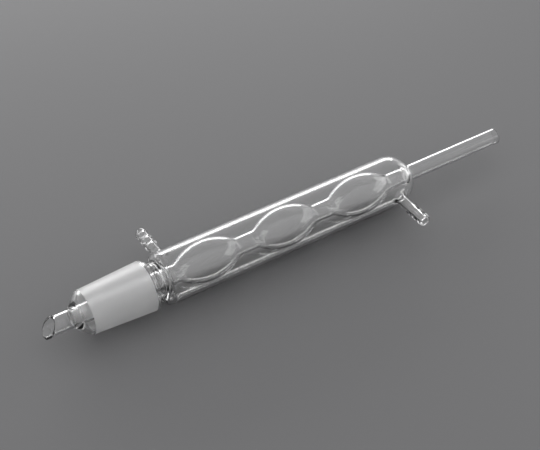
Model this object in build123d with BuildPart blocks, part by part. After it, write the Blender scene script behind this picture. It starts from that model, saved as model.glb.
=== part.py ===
from build123d import *
from math import cos, radians, sin, sqrt, tan
import os

# A bulbed reflux condenser, blown and fused in one piece of clear glass. It lies on its
# jacket: +X runs along its axis from the drip tip to the stem, +Z is up, and the origin is
# on the surface it lies on, below the middle of its length. All sizes are in millimetres.
# Places along the axis are measured from the small end of the ground cone.

# Ground cone
joint_large_diameter = 34.5
joint_length = 45.0
joint_taper = 0.1
joint_wall = 2.2
joint_lower_rounding = 3.0
joint_upper_rounding = 2.6

# Drip tube below the cone
drip_reach = 28.4
drip_bevel_angle = 34.0
trim_allowance = 3.0
lower_shoulder_length = 8.6
lower_shoulder_fillet = 1.8

# Neck between the cone and the jacket
upper_shoulder_length = 4.6
neck_diameter = 26.5
neck_length = 4.2
neck_wall = 1.9
neck_fillet = 1.4

# Cooling jacket
jacket_diameter = 35.4
jacket_wall = 1.8
jacket_straight_length = 180.9
jacket_end_wall = 2.4
jacket_rounding = 3.0

# Inner tube with its bulbs
tube_diameter = 13.0
tube_wall = 1.3
bulb_count = 3
bulb_diameter = 27.8
bulb_wall = 1.15
bulb_length = 44.8
bulb_pitch = 60.0
first_bulb_from_jacket_end = 12.8
bulb_lower_blend = 4.0
bulb_upper_blend = 9.0

# Stem that leaves through the dome
stem_diameter = 11.6
stem_wall = 1.3
stem_length = 78.2
weld_bead_from_dome = 6.0
weld_bead_width = 2.6
weld_bead_height = 0.3

# Ring seals and polished ends
ring_seal_fillet = 1.5
dome_seal_fillet = 2.0
fire_polish = 0.4

# Hose connectors
nozzle_reach = 46.3
nozzle_bore = 5.0
nozzle_neck_diameter = 7.4
nozzle_tip_diameter = 7.7
nozzle_tip_length = 3.0
crest_diameter = 8.9
crest_count = 3
crest_pitch = 6.1
crest_fall = 0.9
crest_rounding = 0.25
nozzle_root_fillet = 2.6
bore_mouth_fillet = 2.6
lower_nozzle_from_jacket_end = 11.3
upper_nozzle_from_dome = 2.9

# Radii
joint_large_radius = joint_large_diameter / 2
joint_small_radius = joint_large_radius - joint_taper * joint_length / 2
jacket_radius = jacket_diameter / 2
jacket_bore_radius = jacket_radius - jacket_wall
neck_radius = neck_diameter / 2
neck_bore_radius = neck_radius - neck_wall
tube_radius = tube_diameter / 2
stem_radius = stem_diameter / 2
stem_bore_radius = stem_radius - stem_wall
bulb_radius = bulb_diameter / 2
nozzle_radius = nozzle_neck_diameter / 2

# Places along the axis
neck_start = joint_length + upper_shoulder_length
jacket_start = neck_start + neck_length
water_start = jacket_start + jacket_end_wall
dome_start = jacket_start + jacket_straight_length
dome_top = dome_start + sqrt(jacket_radius**2 - stem_radius**2)
dome_inner_top = dome_start + sqrt(jacket_bore_radius**2 - stem_radius**2)
stem_end = dome_top + stem_length
tube_start = -drip_reach - trim_allowance
first_bulb = jacket_start + first_bulb_from_jacket_end

# The long axis lies one jacket radius above the surface, and the profile is shifted along it
# so that the origin is below the middle of the length
axis_height = jacket_radius
shift = (drip_reach - stem_end) / 2
profile_plane = Plane(origin=(shift, 0, axis_height), x_dir=(1, 0, 0), z_dir=(0, -1, 0))
long_axis = Axis((0, 0, axis_height), (1, 0, 0))


def corners_at(sketch, places):
    """The corners of a sketch that lie at the given places."""
    reach = 0.01
    return sketch.vertices().filter_by(
        lambda corner: any(
            abs(corner.X - x) < reach and abs(corner.Y - y) < reach for x, y in places
        )
    )


def bulbed_profile(lower_radius, upper_radius, wall):
    """Half section of the bulbed tube, filled down to its axis.

    Each bulb is an arc about a fixed centre. A wall of 0 gives the outside of the glass, and
    the bulb's wall gives the inside."""
    half_length = bulb_length / 2
    rise = bulb_radius - tube_radius
    outer_arc = (half_length**2 + rise**2) / (2 * rise)
    centre_height = bulb_radius - outer_arc
    arc = outer_arc - wall
    lower_reach = sqrt(arc**2 - (lower_radius - centre_height) ** 2)
    upper_reach = sqrt(arc**2 - (upper_radius - centre_height) ** 2)
    middles = [first_bulb + half_length + bulb_pitch * index for index in range(bulb_count)]
    starts = [(middle - lower_reach, lower_radius) for middle in middles]
    tops = [(middle, centre_height + arc) for middle in middles]
    ends = [(middle + lower_reach, lower_radius) for middle in middles[:-1]]
    ends.append((middles[-1] + upper_reach, upper_radius))
    tube_pieces = [(tube_start, lower_radius)] + ends
    with BuildSketch() as half_section:
        with BuildLine():
            for tube_piece, start, top, end in zip(tube_pieces, starts, tops, ends):
                Line(tube_piece, start)
                ThreePointArc(start, top, end)
            Polyline(
                ends[-1],
                (stem_end, upper_radius),
                (stem_end, 0),
                (tube_start, 0),
                (tube_start, lower_radius),
            )
        make_face()
        fillet(corners_at(half_section, starts), radius=bulb_lower_blend + wall)
        fillet(corners_at(half_section, ends), radius=bulb_upper_blend + wall)
    return half_section.sketch


# Cone, neck and jacket, as if they were solid glass
with BuildSketch() as envelope:
    with BuildLine():
        FilletPolyline(
            (-lower_shoulder_length, tube_radius),
            (0, joint_small_radius),
            (joint_length, joint_large_radius),
            (neck_start, neck_radius),
            (jacket_start, neck_radius),
            (jacket_start, jacket_radius),
            (dome_start, jacket_radius),
            radius=[
                joint_lower_rounding,
                joint_upper_rounding,
                neck_fillet,
                neck_fillet,
                jacket_rounding,
            ],
        )
        CenterArc((dome_start, 0), jacket_radius, 0, 90)
        Polyline(
            (dome_start + jacket_radius, 0),
            (-lower_shoulder_length, 0),
            (-lower_shoulder_length, tube_radius),
        )
    make_face()

# Water space in the jacket, as if the inner tube weren't there
with BuildSketch() as water_space:
    with BuildLine():
        FilletPolyline(
            (water_start, 0),
            (water_start, jacket_bore_radius),
            (dome_start, jacket_bore_radius),
            radius=jacket_rounding,
        )
        CenterArc((dome_start, 0), jacket_bore_radius, 0, 90)
        Line((dome_start + jacket_bore_radius, 0), (water_start, 0))
    make_face()

# Closed air space in the cone and the neck, as if the inner tube weren't there
shoulder_rise = (joint_small_radius - tube_radius) / lower_shoulder_length
air_start = joint_wall * sqrt(1 + shoulder_rise**2) / shoulder_rise - lower_shoulder_length
air_small_radius = joint_small_radius - joint_wall
air_small_place = air_start + (air_small_radius - tube_radius) / shoulder_rise
air_large_radius = joint_large_radius - joint_wall
with BuildSketch() as air_space:
    with BuildLine():
        FilletPolyline(
            (air_start, tube_radius),
            (air_small_place, air_small_radius),
            (joint_length, air_large_radius),
            (neck_start, neck_bore_radius),
            (jacket_start, neck_bore_radius),
            radius=[joint_lower_rounding, joint_upper_rounding, neck_fillet],
        )
        Polyline(
            (jacket_start, neck_bore_radius),
            (jacket_start, 0),
            (air_start, 0),
            (air_start, tube_radius),
        )
    make_face()

# The whole wall of glass. The inner tube is sealed in at a ring where it passes through the
# cone, the jacket's lower end and the dome, and a bead marks its weld to the stem.
inner_seals = [
    (air_start, tube_radius),
    (jacket_start, tube_radius),
    (water_start, tube_radius),
    (dome_inner_top, stem_radius),
]
shoulder_foot = [(-lower_shoulder_length, tube_radius)]
dome_seal = [(dome_top, stem_radius)]
stem_rim = [(stem_end, stem_radius), (stem_end, stem_bore_radius)]
with BuildSketch(profile_plane) as glass_section:
    add(envelope.sketch)
    add(water_space.sketch, mode=Mode.SUBTRACT)
    add(air_space.sketch, mode=Mode.SUBTRACT)
    add(bulbed_profile(tube_radius, stem_radius, 0))
    fillet(corners_at(glass_section, inner_seals), radius=ring_seal_fillet)
    fillet(corners_at(glass_section, shoulder_foot), radius=lower_shoulder_fillet)
    fillet(corners_at(glass_section, dome_seal), radius=dome_seal_fillet)
    with Locations((dome_top - weld_bead_from_dome, stem_radius)):
        Ellipse(weld_bead_width / 2, weld_bead_height)
    add(bulbed_profile(tube_radius - tube_wall, stem_bore_radius, bulb_wall), mode=Mode.SUBTRACT)
    fillet(corners_at(glass_section, stem_rim), radius=fire_polish)

# A hose connector, standing on the middle of the jacket's wall. Its crests fall steeply
# towards the jacket and gently towards the tip, so that a hose slides on and doesn't slip off.
nozzle_foot = jacket_radius - jacket_wall / 2
with BuildPart() as nozzle:
    with BuildSketch(Plane.XZ) as nozzle_section:
        with BuildLine():
            outline = [(0, nozzle_foot), (nozzle_radius, nozzle_foot)]
            for crest in reversed(range(crest_count)):
                crest_place = nozzle_reach - nozzle_tip_length - crest * crest_pitch
                outline.append((nozzle_radius, crest_place - crest_fall))
                outline.append((crest_diameter / 2, crest_place))
            outline.append((nozzle_tip_diameter / 2, nozzle_reach))
            outline.append((0, nozzle_reach))
            Polyline(*outline, close=True)
        make_face()
        crests = nozzle_section.vertices().group_by(Axis.X)[-1]
        fillet(crests, radius=crest_rounding)
    revolve(axis=Axis.Z)

lower_nozzle_x = shift + jacket_start + lower_nozzle_from_jacket_end
upper_nozzle_x = shift + dome_start - upper_nozzle_from_dome
lower_nozzle_place = Location((lower_nozzle_x, 0, axis_height), (-90, 0, 0))
upper_nozzle_place = Location((upper_nozzle_x, 0, axis_height), (90, 0, 0))
nozzle_tip = Pos(0, 0, nozzle_reach)
nozzle_depth = nozzle_reach - jacket_bore_radius + jacket_wall

# The drip tip is cut at a slant, with its point on the underside
bevel_middle = tube_radius * tan(radians(drip_bevel_angle)) - drip_reach
bevel_plane = Plane(
    origin=(shift + bevel_middle, 0, axis_height),
    z_dir=(cos(radians(drip_bevel_angle)), 0, -sin(radians(drip_bevel_angle))),
)

with BuildPart() as condenser:
    with BuildSketch(profile_plane):
        add(glass_section.sketch_local)
    revolve(axis=long_axis)
    with Locations(lower_nozzle_place, upper_nozzle_place):
        add(nozzle.part)
    fillet(condenser.edges(Select.NEW), radius=nozzle_root_fillet)
    with Locations(lower_nozzle_place * nozzle_tip, upper_nozzle_place * nozzle_tip):
        Hole(radius=nozzle_bore / 2, depth=nozzle_depth)
    bore_mouths = condenser.edges(Select.LAST).filter_by(
        lambda edge: abs(edge.center().Y) < jacket_radius
    )
    fillet(bore_mouths, radius=bore_mouth_fillet)
    edges_across = condenser.edges().group_by(Axis.Y)
    fillet(edges_across[0] + edges_across[-1], radius=fire_polish)
    split(bisect_by=bevel_plane, keep=Keep.TOP)
    fillet(condenser.faces().filter_by(bevel_plane).edges(), radius=fire_polish)

condenser.part.label = "condenser"
os.makedirs("parts", exist_ok=True)
export_step(condenser.part, "parts/condenser.step")
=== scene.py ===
from math import atan, cos, hypot, pi, radians, sin, sqrt, tan

import bmesh
import bpy
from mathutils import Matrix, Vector


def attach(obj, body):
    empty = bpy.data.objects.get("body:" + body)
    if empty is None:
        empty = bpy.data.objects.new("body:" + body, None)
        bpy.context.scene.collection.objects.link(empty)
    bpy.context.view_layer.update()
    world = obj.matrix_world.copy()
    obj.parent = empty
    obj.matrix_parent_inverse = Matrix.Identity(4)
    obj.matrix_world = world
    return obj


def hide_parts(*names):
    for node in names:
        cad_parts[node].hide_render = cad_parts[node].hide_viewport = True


# The looks of a bulbed reflux condenser of clear glass. Sizes are in millimetres until a mesh is
# made, and places along the axis are measured from the small end of the ground cone, as in the
# solid. Angles around the axis start at the side of the lower hose connector, and a quarter turn
# is straight up.
MM = 0.001

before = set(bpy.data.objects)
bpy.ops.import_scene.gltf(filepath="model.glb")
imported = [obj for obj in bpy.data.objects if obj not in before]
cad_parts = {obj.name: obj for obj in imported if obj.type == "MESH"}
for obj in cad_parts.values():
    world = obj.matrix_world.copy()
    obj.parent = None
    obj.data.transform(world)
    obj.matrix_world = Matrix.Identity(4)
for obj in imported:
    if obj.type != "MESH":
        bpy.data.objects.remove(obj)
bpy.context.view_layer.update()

# Ground cone and its shoulders
CONE_LARGE_RADIUS = 17.25
CONE_LENGTH = 45.0
CONE_TAPER = 0.1
CONE_SMALL_RADIUS = CONE_LARGE_RADIUS - CONE_TAPER * CONE_LENGTH / 2
CONE_WALL = 2.2
CONE_LOWER_ROUNDING = 3.0
CONE_UPPER_ROUNDING = 2.6
SHOULDER_LENGTH = 8.6
SHOULDER_FILLET = 1.8
UPPER_SHOULDER_LENGTH = 4.6

# Inner tube and stem
TUBE_RADIUS = 6.5
TUBE_BORE_RADIUS = 5.2
STEM_RADIUS = 5.8
STEM_BORE_RADIUS = 4.5
STEM_LENGTH = 78.2
RIM_ROUNDING = 0.4

# Neck and jacket
NECK_START = CONE_LENGTH + UPPER_SHOULDER_LENGTH
NECK_LENGTH = 4.2
NECK_RADIUS = 13.25
NECK_WALL = 1.9
NECK_FILLET = 1.4
JACKET_START = NECK_START + NECK_LENGTH
JACKET_LENGTH = 180.9
JACKET_RADIUS = 17.7
JACKET_BORE_RADIUS = 15.9
JACKET_END_WALL = 2.4
JACKET_ROUNDING = 3.0
WATER_START = JACKET_START + JACKET_END_WALL
DOME_START = JACKET_START + JACKET_LENGTH
DOME_TOP = DOME_START + sqrt(JACKET_RADIUS**2 - STEM_RADIUS**2)
STEM_END = DOME_TOP + STEM_LENGTH
SEAL_FILLET = 1.5
DOME_FILLET = 2.0

# Slanted cut of the drip tube. Its rounded point is drawn back a little, and the slant fades out
# up the tube.
DRIP_REACH = 28.4
DRIP_START = -13.0
BEVEL_SLOPE = tan(radians(34))
BEVEL_SETBACK = 0.1757
BEVEL_MIDDLE = TUBE_RADIUS * BEVEL_SLOPE - DRIP_REACH + BEVEL_SETBACK
BEVEL_FADE = 11.0

# Low ring on the stem where it is welded on, inside the dome
WELD_BEAD_PLACE = DOME_TOP - 6.0
WELD_BEAD_HALF_WIDTH = 1.3
WELD_BEAD_HEIGHT = 0.3

# Bulbs
BULB_COUNT = 3
BULB_PITCH = 60.0
BULB_HALF_LENGTH = 22.4
BULB_RADIUS = 13.9
BULB_WALL = 1.15
BULB_LOWER_BLEND = 4.0
BULB_UPPER_BLEND = 9.0
FIRST_BULB_FROM_JACKET = 12.8
FIRST_BULB_MIDDLE = JACKET_START + FIRST_BULB_FROM_JACKET + BULB_HALF_LENGTH

# Hose connectors
NOZZLE_REACH = 46.3
NOZZLE_RADIUS = 3.7
NOZZLE_STRAIGHT = 0.6
NOZZLE_BORE_RADIUS = 2.5
NOZZLE_TIP_RADIUS = 3.85
NOZZLE_TIP_LENGTH = 3.0
NOZZLE_ROOT_FILLET = 2.6
NOZZLE_BORE_ROUNDING = 2.6
NOZZLE_RIM_ROUNDING = 0.3
CREST_RADIUS = 4.45
CREST_COUNT = 3
CREST_PITCH = 6.1
CREST_FALL = 0.9
CREST_ROUNDING = 0.25
CREST_FOOT_ROUNDING = 0.15
LOWER_NOZZLE = JACKET_START + 11.3
UPPER_NOZZLE = DOME_START - 2.9

# The glass lies on its jacket, and its frame's origin is below the middle of its length
SHIFT = (DRIP_REACH - STEM_END) / 2
AXIS_HEIGHT = JACKET_RADIUS

# Ground zone of the cone, and how far below the cone's small radius it is looked for
FROST_START = 1.8
FROST_END = 43.6
FROST_DEPTH = 1.0

# Fineness of the mesh
SEGMENTS = 120
PATCH_CELLS = 22
JACKET_CELLS = 12
DOME_CELLS = 18
BULB_BLEND_CELLS = 10
BULB_ARC_CELLS = 16
BEAD_CELLS = 8
DRIP_CELLS = 8
BLEND_RINGS = 7
FILLET_STEPS = 8
RIM_STEPS = 4

# Length of the straight lead into a rounded corner, which is cut off again
LEAD = 10.0

# Half the length of the patches of the walls that the hose connectors grow out of
OUTER_PATCH_REACH = 8.25
INNER_PATCH_REACH = 5.7
NOZZLE_CENTRES = (LOWER_NOZZLE, UPPER_NOZZLE)
NOZZLE_SIDES = (1, -1)


def patches(reach):
    """The first and last place of the patch around each hose connector."""
    return [(centre - reach, centre + reach) for centre in NOZZLE_CENTRES]


def stretch(first, last, cells):
    """Evenly spaced numbers from first to last."""
    return [first + (last - first) * cell / cells for cell in range(cells + 1)]


def rounded(points):
    """A path through (place, radius, rounding) points, with its corners rounded."""
    path = [points[0][:2]]
    for before, corner, after in zip(points, points[1:], points[2:]):
        radius = corner[2]
        if not radius:
            path.append(corner[:2])
            continue
        at = Vector(corner[:2])
        back = (Vector(before[:2]) - at).normalized()
        ahead = (Vector(after[:2]) - at).normalized()
        half_angle = back.angle(ahead) / 2
        centre = at + (back + ahead).normalized() * radius / sin(half_angle)
        first = at + back * radius / tan(half_angle) - centre
        last = at + ahead * radius / tan(half_angle) - centre
        turn = first.angle(last)
        for share in stretch(0, 1, FILLET_STEPS):
            spoke = first * sin((1 - share) * turn) + last * sin(share * turn)
            path.append(tuple(centre + spoke / sin(turn)))
    path.append(points[-1][:2])
    return path


def bulb_profile(middle, lower_radius, upper_radius, inside):
    """Places and radii along one bulb, from the tube below it to the tube above it."""
    rise = BULB_RADIUS - TUBE_RADIUS
    outer_arc = (BULB_HALF_LENGTH**2 + rise**2) / (2 * rise)
    centre = BULB_RADIUS - outer_arc
    arc = outer_arc - inside
    ends = ((-1, lower_radius, BULB_LOWER_BLEND), (1, upper_radius, BULB_UPPER_BLEND))
    profile = []
    for side, tube, blend in ends:
        fillet = blend + inside
        fillet_height = tube + fillet
        reach = sqrt((arc + fillet) ** 2 - (fillet_height - centre) ** 2)
        joined = reach * arc / (arc + fillet)
        half = []
        for away in stretch(reach, joined, BULB_BLEND_CELLS)[:-1]:
            height = fillet_height - sqrt(fillet**2 - (reach - away) ** 2)
            half.append((middle + side * away, height))
        for away in stretch(joined, 0, BULB_ARC_CELLS):
            half.append((middle + side * away, centre + sqrt(arc**2 - away**2)))
        profile += half if side < 0 else half[-2::-1]
    return profile


def bulbed_tube(lower_radius, upper_radius, inside):
    """Places and radii along the bulbs. The tube above the last one is the stem."""
    profile = []
    for index in range(BULB_COUNT):
        above = upper_radius if index == BULB_COUNT - 1 else lower_radius
        middle = FIRST_BULB_MIDDLE + index * BULB_PITCH
        profile += bulb_profile(middle, lower_radius, above, inside)
    return profile


def wall_radius(radius, place):
    """The radius of the jacket or of its bore at a place along the axis, dome included."""
    if place < DOME_START:
        return radius
    return sqrt(radius**2 - (place - DOME_START) ** 2)


def jacket_wall(radius, reach):
    """Places and radii from the first patch along the jacket to the end of the second."""
    first, second = patches(reach)
    between = stretch(first[1], second[0], JACKET_CELLS)[1:-1]
    places = stretch(*first, PATCH_CELLS) + between + stretch(*second, PATCH_CELLS)
    return [(place, wall_radius(radius, place)) for place in places]


def dome_to_stem(radius, fillet, outside, start):
    """Places and radii from a place on a dome, over its rounded seal, to the stem. The fillet
    lies outside the dome where outside is 1, and inside it where it is -1."""
    centre_height = STEM_RADIUS + fillet
    centre = sqrt((radius + outside * fillet) ** 2 - centre_height**2)
    joined_angle = atan(centre_height / centre)
    start_angle = atan(wall_radius(radius, start) / (start - DOME_START))
    path = []
    for angle in stretch(start_angle, joined_angle, DOME_CELLS)[1:]:
        path.append((DOME_START + radius * cos(angle), radius * sin(angle)))
    first_turn = joined_angle + pi if outside > 0 else joined_angle
    last_turn = 3 * pi / 2 if outside > 0 else -pi / 2
    for angle in stretch(first_turn, last_turn, FILLET_STEPS)[1:]:
        path.append((DOME_START + centre + fillet * cos(angle), centre_height + fillet * sin(angle)))
    return path


def weld_bead():
    """Places and radii over the weld's low ring."""
    bead = []
    for share in stretch(-1, 1, BEAD_CELLS):
        height = WELD_BEAD_HEIGHT * (cos(share * pi) + 1) / 2
        bead.append((WELD_BEAD_PLACE + share * WELD_BEAD_HALF_WIDTH, STEM_RADIUS + height))
    return bead


def outer_rings():
    """Places and radii from the drip tube over the cone and the jacket to the stem."""
    below_jacket = rounded(
        [
            (DRIP_START, TUBE_RADIUS, 0),
            (-SHOULDER_LENGTH, TUBE_RADIUS, SHOULDER_FILLET),
            (0, CONE_SMALL_RADIUS, CONE_LOWER_ROUNDING),
            (CONE_LENGTH, CONE_LARGE_RADIUS, CONE_UPPER_ROUNDING),
            (NECK_START, NECK_RADIUS, NECK_FILLET),
            (JACKET_START, NECK_RADIUS, NECK_FILLET),
            (JACKET_START, JACKET_RADIUS, JACKET_ROUNDING),
            (JACKET_START + LEAD, JACKET_RADIUS, 0),
        ]
    )[:-1]
    jacket = jacket_wall(JACKET_RADIUS, OUTER_PATCH_REACH)
    dome = dome_to_stem(JACKET_RADIUS, DOME_FILLET, 1, jacket[-1][0])
    return below_jacket + jacket + dome


def water_rings():
    """Places and radii around the water space, a closed loop."""
    lower_end = rounded(
        [
            (WATER_START + LEAD, TUBE_RADIUS, 0),
            (WATER_START, TUBE_RADIUS, SEAL_FILLET),
            (WATER_START, JACKET_BORE_RADIUS, JACKET_ROUNDING),
            (WATER_START + LEAD, JACKET_BORE_RADIUS, 0),
        ]
    )[1:-1]
    jacket = jacket_wall(JACKET_BORE_RADIUS, INNER_PATCH_REACH)
    dome = dome_to_stem(JACKET_BORE_RADIUS, SEAL_FILLET, -1, jacket[-1][0])
    return lower_end + jacket + dome + weld_bead()[::-1] + bulbed_tube(TUBE_RADIUS, STEM_RADIUS, 0)[::-1]


def air_rings():
    """Places and radii around the closed air space in the cone and the neck, a closed loop."""
    rise = (CONE_SMALL_RADIUS - TUBE_RADIUS) / SHOULDER_LENGTH
    start = CONE_WALL * sqrt(1 + rise**2) / rise - SHOULDER_LENGTH
    small_radius = CONE_SMALL_RADIUS - CONE_WALL
    small_place = start + (small_radius - TUBE_RADIUS) / rise
    path = rounded(
        [
            (start + LEAD, TUBE_RADIUS, 0),
            (start, TUBE_RADIUS, SEAL_FILLET),
            (small_place, small_radius, CONE_LOWER_ROUNDING),
            (CONE_LENGTH, CONE_LARGE_RADIUS - CONE_WALL, CONE_UPPER_ROUNDING),
            (NECK_START, NECK_RADIUS - NECK_WALL, NECK_FILLET),
            (JACKET_START, NECK_RADIUS - NECK_WALL, SEAL_FILLET),
            (JACKET_START, TUBE_RADIUS, SEAL_FILLET),
            (start + LEAD, TUBE_RADIUS, 0),
        ]
    )
    return path[1:-1]


class Glass:
    """A mesh of glass walls that is built ring by ring."""

    def __init__(self):
        self.mesh = bmesh.new()

    def vertex(self, place, across, up):
        """A corner at a place along the axis, and across and up from the axis."""
        return self.mesh.verts.new(((place + SHIFT) * MM, across * MM, (AXIS_HEIGHT + up) * MM))

    def ring(self, place, radius, slope=0):
        """A ring around the long axis. A slope leans it, as at the drip tip's slanted cut."""
        corners = []
        for index in range(SEGMENTS):
            angle = 2 * pi * index / SEGMENTS
            up = radius * sin(angle)
            corners.append(self.vertex(place + slope * up, radius * cos(angle), up))
        return corners

    def band(self, first, second, skip=()):
        """Faces between two rings of corners. Those whose number is in skip are left out."""
        count = len(first)
        for index in range(count):
            if index in skip:
                continue
            after = (index + 1) % count
            self.mesh.faces.new((first[index], first[after], second[after], second[index]))

    def loop(self, rings, skipped=lambda index: ()):
        """Faces between all rings of a closed loop."""
        for index, first in enumerate(rings):
            self.band(first, rings[(index + 1) % len(rings)], skip=skipped(index))


def patch_columns(side):
    """The columns of the long ring that a hose connector's patch takes up."""
    middle = 0 if side > 0 else SEGMENTS // 2
    half = PATCH_CELLS // 2
    return [(middle - half + column) % SEGMENTS for column in range(PATCH_CELLS + 1)]


def columns_left_out(index, patch_starts):
    """The columns left out of the band that starts at a ring, for the hose connectors."""
    columns = []
    for start, side in zip(patch_starts, NOZZLE_SIDES):
        if start <= index < start + PATCH_CELLS:
            columns += patch_columns(side)[:-1]
    return columns


def around_patch(rings, first_ring, columns):
    """The corners around a patch, in the order of the angles around the hose connector."""
    last_ring = first_ring + PATCH_CELLS
    cells = range(PATCH_CELLS)
    border = [rings[first_ring + cell][columns[0]] for cell in cells]
    border += [rings[last_ring][columns[cell]] for cell in cells]
    border += [rings[last_ring - cell][columns[-1]] for cell in cells]
    border += [rings[first_ring][columns[PATCH_CELLS - cell]] for cell in cells]
    return border


def nozzle_ring(glass, centre, side, radius, height_at):
    """A ring around a hose connector's axis, at a height that may change around it."""
    corners = []
    count = 4 * PATCH_CELLS
    for index in range(count):
        angle = side * (-3 * pi / 4 + 2 * pi * index / count)
        place = centre + radius * cos(angle)
        up = radius * sin(angle)
        corners.append(glass.vertex(place, side * height_at(place, up), up))
    return corners


def root_of_nozzle(glass, border, centre, side, radius, fillet, wall):
    """Joins a patch's border to a hose connector of some radius, with a fillet that starts on
    a wall of some radius. Returns the last ring."""

    def surface(place, up):
        return sqrt(wall_radius(wall, place) ** 2 - up**2)

    foot_radius = radius + fillet
    foot = nozzle_ring(glass, centre, side, foot_radius, surface)
    rows = [border]
    for share in stretch(0, 1, BLEND_RINGS)[1:-1]:
        row = []
        for far, near in zip(border, foot):
            place = (far.co.x * (1 - share) + near.co.x * share) / MM - SHIFT
            up = (far.co.z * (1 - share) + near.co.z * share) / MM - AXIS_HEIGHT
            row.append(glass.vertex(place, side * surface(place, up), up))
        rows.append(row)
    rows.append(foot)
    for angle in stretch(pi / 2, 0, FILLET_STEPS)[1:]:
        lift = fillet - fillet * sin(angle)
        reach = foot_radius - fillet * cos(angle)
        rows.append(nozzle_ring(glass, centre, side, reach, lambda place, up: surface(place, up) + lift))
    for first, second in zip(rows, rows[1:]):
        glass.band(first, second)
    return rows[-1]


def nozzle_profile():
    """Radii and heights of a hose connector, from its root over its crests, around its rim and
    down its bore."""
    corners = [(NOZZLE_RADIUS, JACKET_RADIUS + NOZZLE_ROOT_FILLET + NOZZLE_STRAIGHT, 0)]
    for crest in reversed(range(CREST_COUNT)):
        height = NOZZLE_REACH - NOZZLE_TIP_LENGTH - crest * CREST_PITCH
        corners.append((NOZZLE_RADIUS, height - CREST_FALL, CREST_FOOT_ROUNDING))
        corners.append((CREST_RADIUS, height, CREST_ROUNDING))
    corners.append((NOZZLE_TIP_RADIUS, NOZZLE_REACH, NOZZLE_RIM_ROUNDING))
    corners.append((NOZZLE_BORE_RADIUS, NOZZLE_REACH, NOZZLE_RIM_ROUNDING))
    corners.append((NOZZLE_BORE_RADIUS, JACKET_RADIUS + NOZZLE_BORE_ROUNDING, 0))
    return rounded(corners)


def add_nozzle(glass, outer_border, inner_border, side, centre):
    """A hose connector that grows out of the jacket's wall."""
    row = root_of_nozzle(
        glass, outer_border, centre, side, NOZZLE_RADIUS, NOZZLE_ROOT_FILLET, JACKET_RADIUS
    )
    for radius, height in nozzle_profile():
        above = nozzle_ring(glass, centre, side, radius, lambda place, up: height)
        glass.band(row, above)
        row = above
    bore_end = root_of_nozzle(
        glass, inner_border, centre, side, NOZZLE_BORE_RADIUS, NOZZLE_BORE_ROUNDING, JACKET_BORE_RADIUS
    )
    glass.band(row, bore_end)


def drip_rings(glass, radius, count):
    """The first few rings from the slanted rim of the drip tube up to its straight part."""
    rings = []
    for away in stretch(RIM_ROUNDING, BEVEL_FADE, DRIP_CELLS):
        slope = BEVEL_SLOPE * (1 - away / BEVEL_FADE)
        rings.append(glass.ring(BEVEL_MIDDLE + away, radius, slope))
    return rings[:count]


def rim(glass, outer_radius, inner_radius, end, inward, slope=0):
    """Rings over a fire-polished rim, from outside to inside."""
    rings = []
    for angle in stretch(0, pi / 2, RIM_STEPS)[1:]:
        place = end + inward * RIM_ROUNDING * (1 - sin(angle))
        rings.append(glass.ring(place, outer_radius - RIM_ROUNDING * (1 - cos(angle)), slope))
    for angle in stretch(pi / 2, 0, RIM_STEPS)[:-1]:
        place = end + inward * RIM_ROUNDING * (1 - sin(angle))
        rings.append(glass.ring(place, inner_radius + RIM_ROUNDING * (1 - cos(angle)), slope))
    return rings


def patch_starts(profile, reach):
    """The numbers of the rings that the patches start at."""
    starts = []
    for patch in patches(reach):
        gaps = [abs(ring[0] - patch[0]) for ring in profile]
        starts.append(gaps.index(min(gaps)))
    return starts


def build_glass():
    """The whole condenser as closed walls of glass, and the rings of its closed air space."""
    glass = Glass()

    # Outer wall, from the drip tip to the stem's rim, and the vapour's way back
    outer_profile = outer_rings()
    drip_outside = drip_rings(glass, TUBE_RADIUS, DRIP_CELLS)
    outer = [glass.ring(*ring) for ring in outer_profile]
    stem_outside = [glass.ring(STEM_END - RIM_ROUNDING, STEM_RADIUS)]
    stem_rim = rim(glass, STEM_RADIUS, STEM_BORE_RADIUS, STEM_END, -1)
    stem_inside = [glass.ring(STEM_END - RIM_ROUNDING, STEM_BORE_RADIUS)]
    bore_profile = bulbed_tube(TUBE_BORE_RADIUS, STEM_BORE_RADIUS, BULB_WALL)[::-1]
    bore = [glass.ring(*ring) for ring in bore_profile]
    drip_inside = drip_rings(glass, TUBE_BORE_RADIUS, DRIP_CELLS + 1)[::-1]
    drip_rim = rim(glass, TUBE_RADIUS, TUBE_BORE_RADIUS, BEVEL_MIDDLE, 1, BEVEL_SLOPE)[::-1]
    outside = drip_outside + outer + stem_outside + stem_rim
    inside = stem_inside + bore + drip_inside + drip_rim

    # Water space and closed air space
    water_profile = water_rings()
    water = [glass.ring(*ring) for ring in water_profile]
    air = [glass.ring(*ring) for ring in air_rings()]

    # Walls between the rings, with the patches of the hose connectors left out
    outer_starts = patch_starts(outer_profile, OUTER_PATCH_REACH)
    inner_starts = patch_starts(water_profile, INNER_PATCH_REACH)
    rings_before = len(drip_outside)
    glass.loop(outside + inside, lambda index: columns_left_out(index - rings_before, outer_starts))
    glass.loop(water, lambda index: columns_left_out(index, inner_starts))
    glass.loop(air)
    for number, side in enumerate(NOZZLE_SIDES):
        columns = patch_columns(side)
        outer_border = around_patch(outer, outer_starts[number], columns)
        inner_border = around_patch(water, inner_starts[number], columns)
        add_nozzle(glass, outer_border, inner_border, side, NOZZLE_CENTRES[number])
    return glass, air


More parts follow.
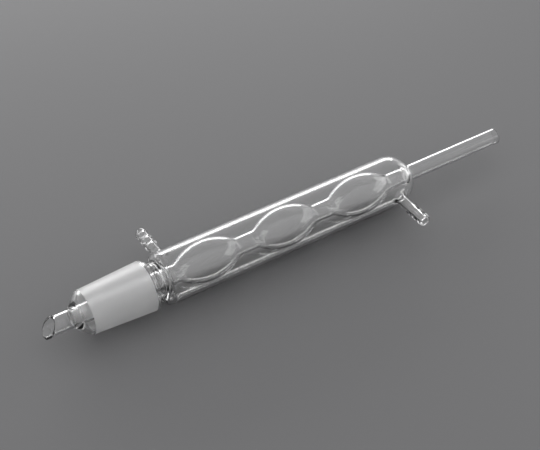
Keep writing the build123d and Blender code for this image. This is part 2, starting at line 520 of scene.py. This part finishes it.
def finish_faces(mesh, air):
    """Drops the corners inside the patches, points the faces out of the glass and marks those of
    the ground zone."""
    loose = [vertex for vertex in mesh.verts if not vertex.link_faces]
    bmesh.ops.delete(mesh, geom=loose, context="VERTS")
    air_faces = {face for ring in air for vertex in ring for face in vertex.link_faces}
    bmesh.ops.recalc_face_normals(mesh, faces=list(set(mesh.faces) - air_faces))
    bmesh.ops.recalc_face_normals(mesh, faces=list(air_faces))
    for face in air_faces:
        face.normal_flip()
    for face in mesh.faces:
        face.smooth = True
        middle = face.calc_center_median() / MM
        place = middle.x - SHIFT
        radius = hypot(middle.y, middle.z - AXIS_HEIGHT)
        on_cone = CONE_SMALL_RADIUS - FROST_DEPTH < radius and face not in air_faces
        if on_cone and FROST_START < place < FROST_END:
            face.material_index = 1


def principled(name):
    """A new material and its main shader."""
    material = bpy.data.materials.new(name)
    material.use_nodes = True
    return material, material.node_tree.nodes["Principled BSDF"]


def noise_bump(material, shader, scale, strength, distance):
    """Fine unevenness on a material, from noise in the object's own coordinates."""
    nodes = material.node_tree.nodes
    links = material.node_tree.links
    coordinates = nodes.new("ShaderNodeTexCoord")
    noise = nodes.new("ShaderNodeTexNoise")
    noise.inputs["Scale"].default_value = scale
    noise.inputs["Detail"].default_value = 3.0
    bump = nodes.new("ShaderNodeBump")
    bump.inputs["Strength"].default_value = strength
    bump.inputs["Distance"].default_value = distance
    links.new(coordinates.outputs["Object"], noise.inputs["Vector"])
    links.new(noise.outputs["Fac"], bump.inputs["Height"])
    links.new(bump.outputs["Normal"], shader.inputs["Normal"])


def glass_material(name, colour, transmission, roughness):
    """A material of borosilicate glass, and its shader."""
    material, shader = principled(name)
    shader.inputs["Base Color"].default_value = colour
    shader.inputs["Transmission Weight"].default_value = transmission
    shader.inputs["Roughness"].default_value = roughness
    shader.inputs["IOR"].default_value = 1.474
    return material, shader


def clear_glass():
    """Polished glass with a trace of unevenness."""
    white = (1.0, 1.0, 1.0, 1)
    material, shader = glass_material("clear_glass", white, transmission=1.0, roughness=0.0)
    noise_bump(material, shader, scale=60, strength=0.05, distance=0.0005)
    return material


def ground_glass():
    """Ground glass that scatters the light."""
    off_white = (0.95, 0.95, 0.95, 1)
    material, shader = glass_material("ground_glass", off_white, transmission=0.7, roughness=0.6)
    noise_bump(material, shader, scale=4000, strength=0.3, distance=0.0001)
    return material


def add_condenser():
    """The condenser's one piece of glass, in place of the solid."""
    glass, air = build_glass()
    finish_faces(glass.mesh, air)
    mesh = bpy.data.meshes.new("condenser_glass")
    glass.mesh.to_mesh(mesh)
    glass.mesh.free()
    mesh.materials.append(clear_glass())
    mesh.materials.append(ground_glass())
    condenser = bpy.data.objects.new("condenser_glass", mesh)
    bpy.context.scene.collection.objects.link(condenser)
    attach(condenser, "root")
    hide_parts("condenser")


def add_floor():
    """A plain floor with a soft sheen."""
    bpy.ops.mesh.primitive_circle_add(vertices=96, radius=4.0, fill_type="NGON", location=(0, 0, 0))
    floor = bpy.context.object
    floor.name = "floor"
    material, shader = principled("floor")
    shader.inputs["Base Color"].default_value = (0.15, 0.15, 0.153, 1)
    shader.inputs["Roughness"].default_value = 0.45
    noise_bump(material, shader, scale=900, strength=0.02, distance=0.0002)
    floor.data.materials.append(material)


def softbox(name, place, width, height, radiance):
    """A soft area lamp that faces the origin. Its sizes are in metres."""
    lamp = bpy.data.lights.new(name, "AREA")
    lamp.shape = "RECTANGLE"
    lamp.size = width
    lamp.size_y = height
    lamp.energy = radiance * pi * width * height
    holder = bpy.data.objects.new(name, lamp)
    holder.location = place
    holder.rotation_euler = Vector(place).to_track_quat("Z", "Y").to_euler()
    bpy.context.scene.collection.objects.link(holder)


def add_studio():
    """Three soft lamps and an even, bright world."""
    softbox("far_softbox", (0.2, 1.5, 0.3), width=2.4, height=0.4, radiance=4.0)
    softbox("right_softbox", (1.7, -0.2, 0.45), width=2.2, height=1.0, radiance=1.6)
    softbox("left_softbox", (-1.9, 0.2, 0.5), width=1.0, height=0.8, radiance=1.5)
    world = bpy.data.worlds.new("studio")
    world.use_nodes = True
    background = world.node_tree.nodes["Background"]
    background.inputs["Color"].default_value = (0.8, 0.8, 0.805, 1)
    background.inputs["Strength"].default_value = 1.0
    bpy.context.scene.world = world


# Where the photograph was taken from. Lens and sensor are in millimetres, the rest in metres.
CAMERA_LENS = 88.94
CAMERA_SENSOR_WIDTH = 36.0
CAMERA_TARGET = Vector((-0.00873, 0.00632, 0.0177))
CAMERA_DISTANCE = 0.8918
CAMERA_AZIMUTH = radians(-32.491)
CAMERA_ELEVATION = radians(42.255)
CAMERA_CLIP_START = 0.01


def add_camera():
    """The camera, which looks down on the condenser."""
    camera_data = bpy.data.cameras.new("camera")
    camera_data.lens = CAMERA_LENS
    camera_data.sensor_width = CAMERA_SENSOR_WIDTH
    camera_data.clip_start = CAMERA_CLIP_START
    camera = bpy.data.objects.new("camera", camera_data)
    back = Vector(
        (
            sin(CAMERA_AZIMUTH) * cos(CAMERA_ELEVATION),
            -cos(CAMERA_AZIMUTH) * cos(CAMERA_ELEVATION),
            sin(CAMERA_ELEVATION),
        )
    )
    camera.location = CAMERA_TARGET + back * CAMERA_DISTANCE
    camera.rotation_euler = back.to_track_quat("Z", "Y").to_euler()
    bpy.context.scene.collection.objects.link(camera)
    bpy.context.scene.camera = camera


add_condenser()
add_floor()
add_studio()
add_camera()
bpy.context.scene.view_settings.view_transform = "Standard"
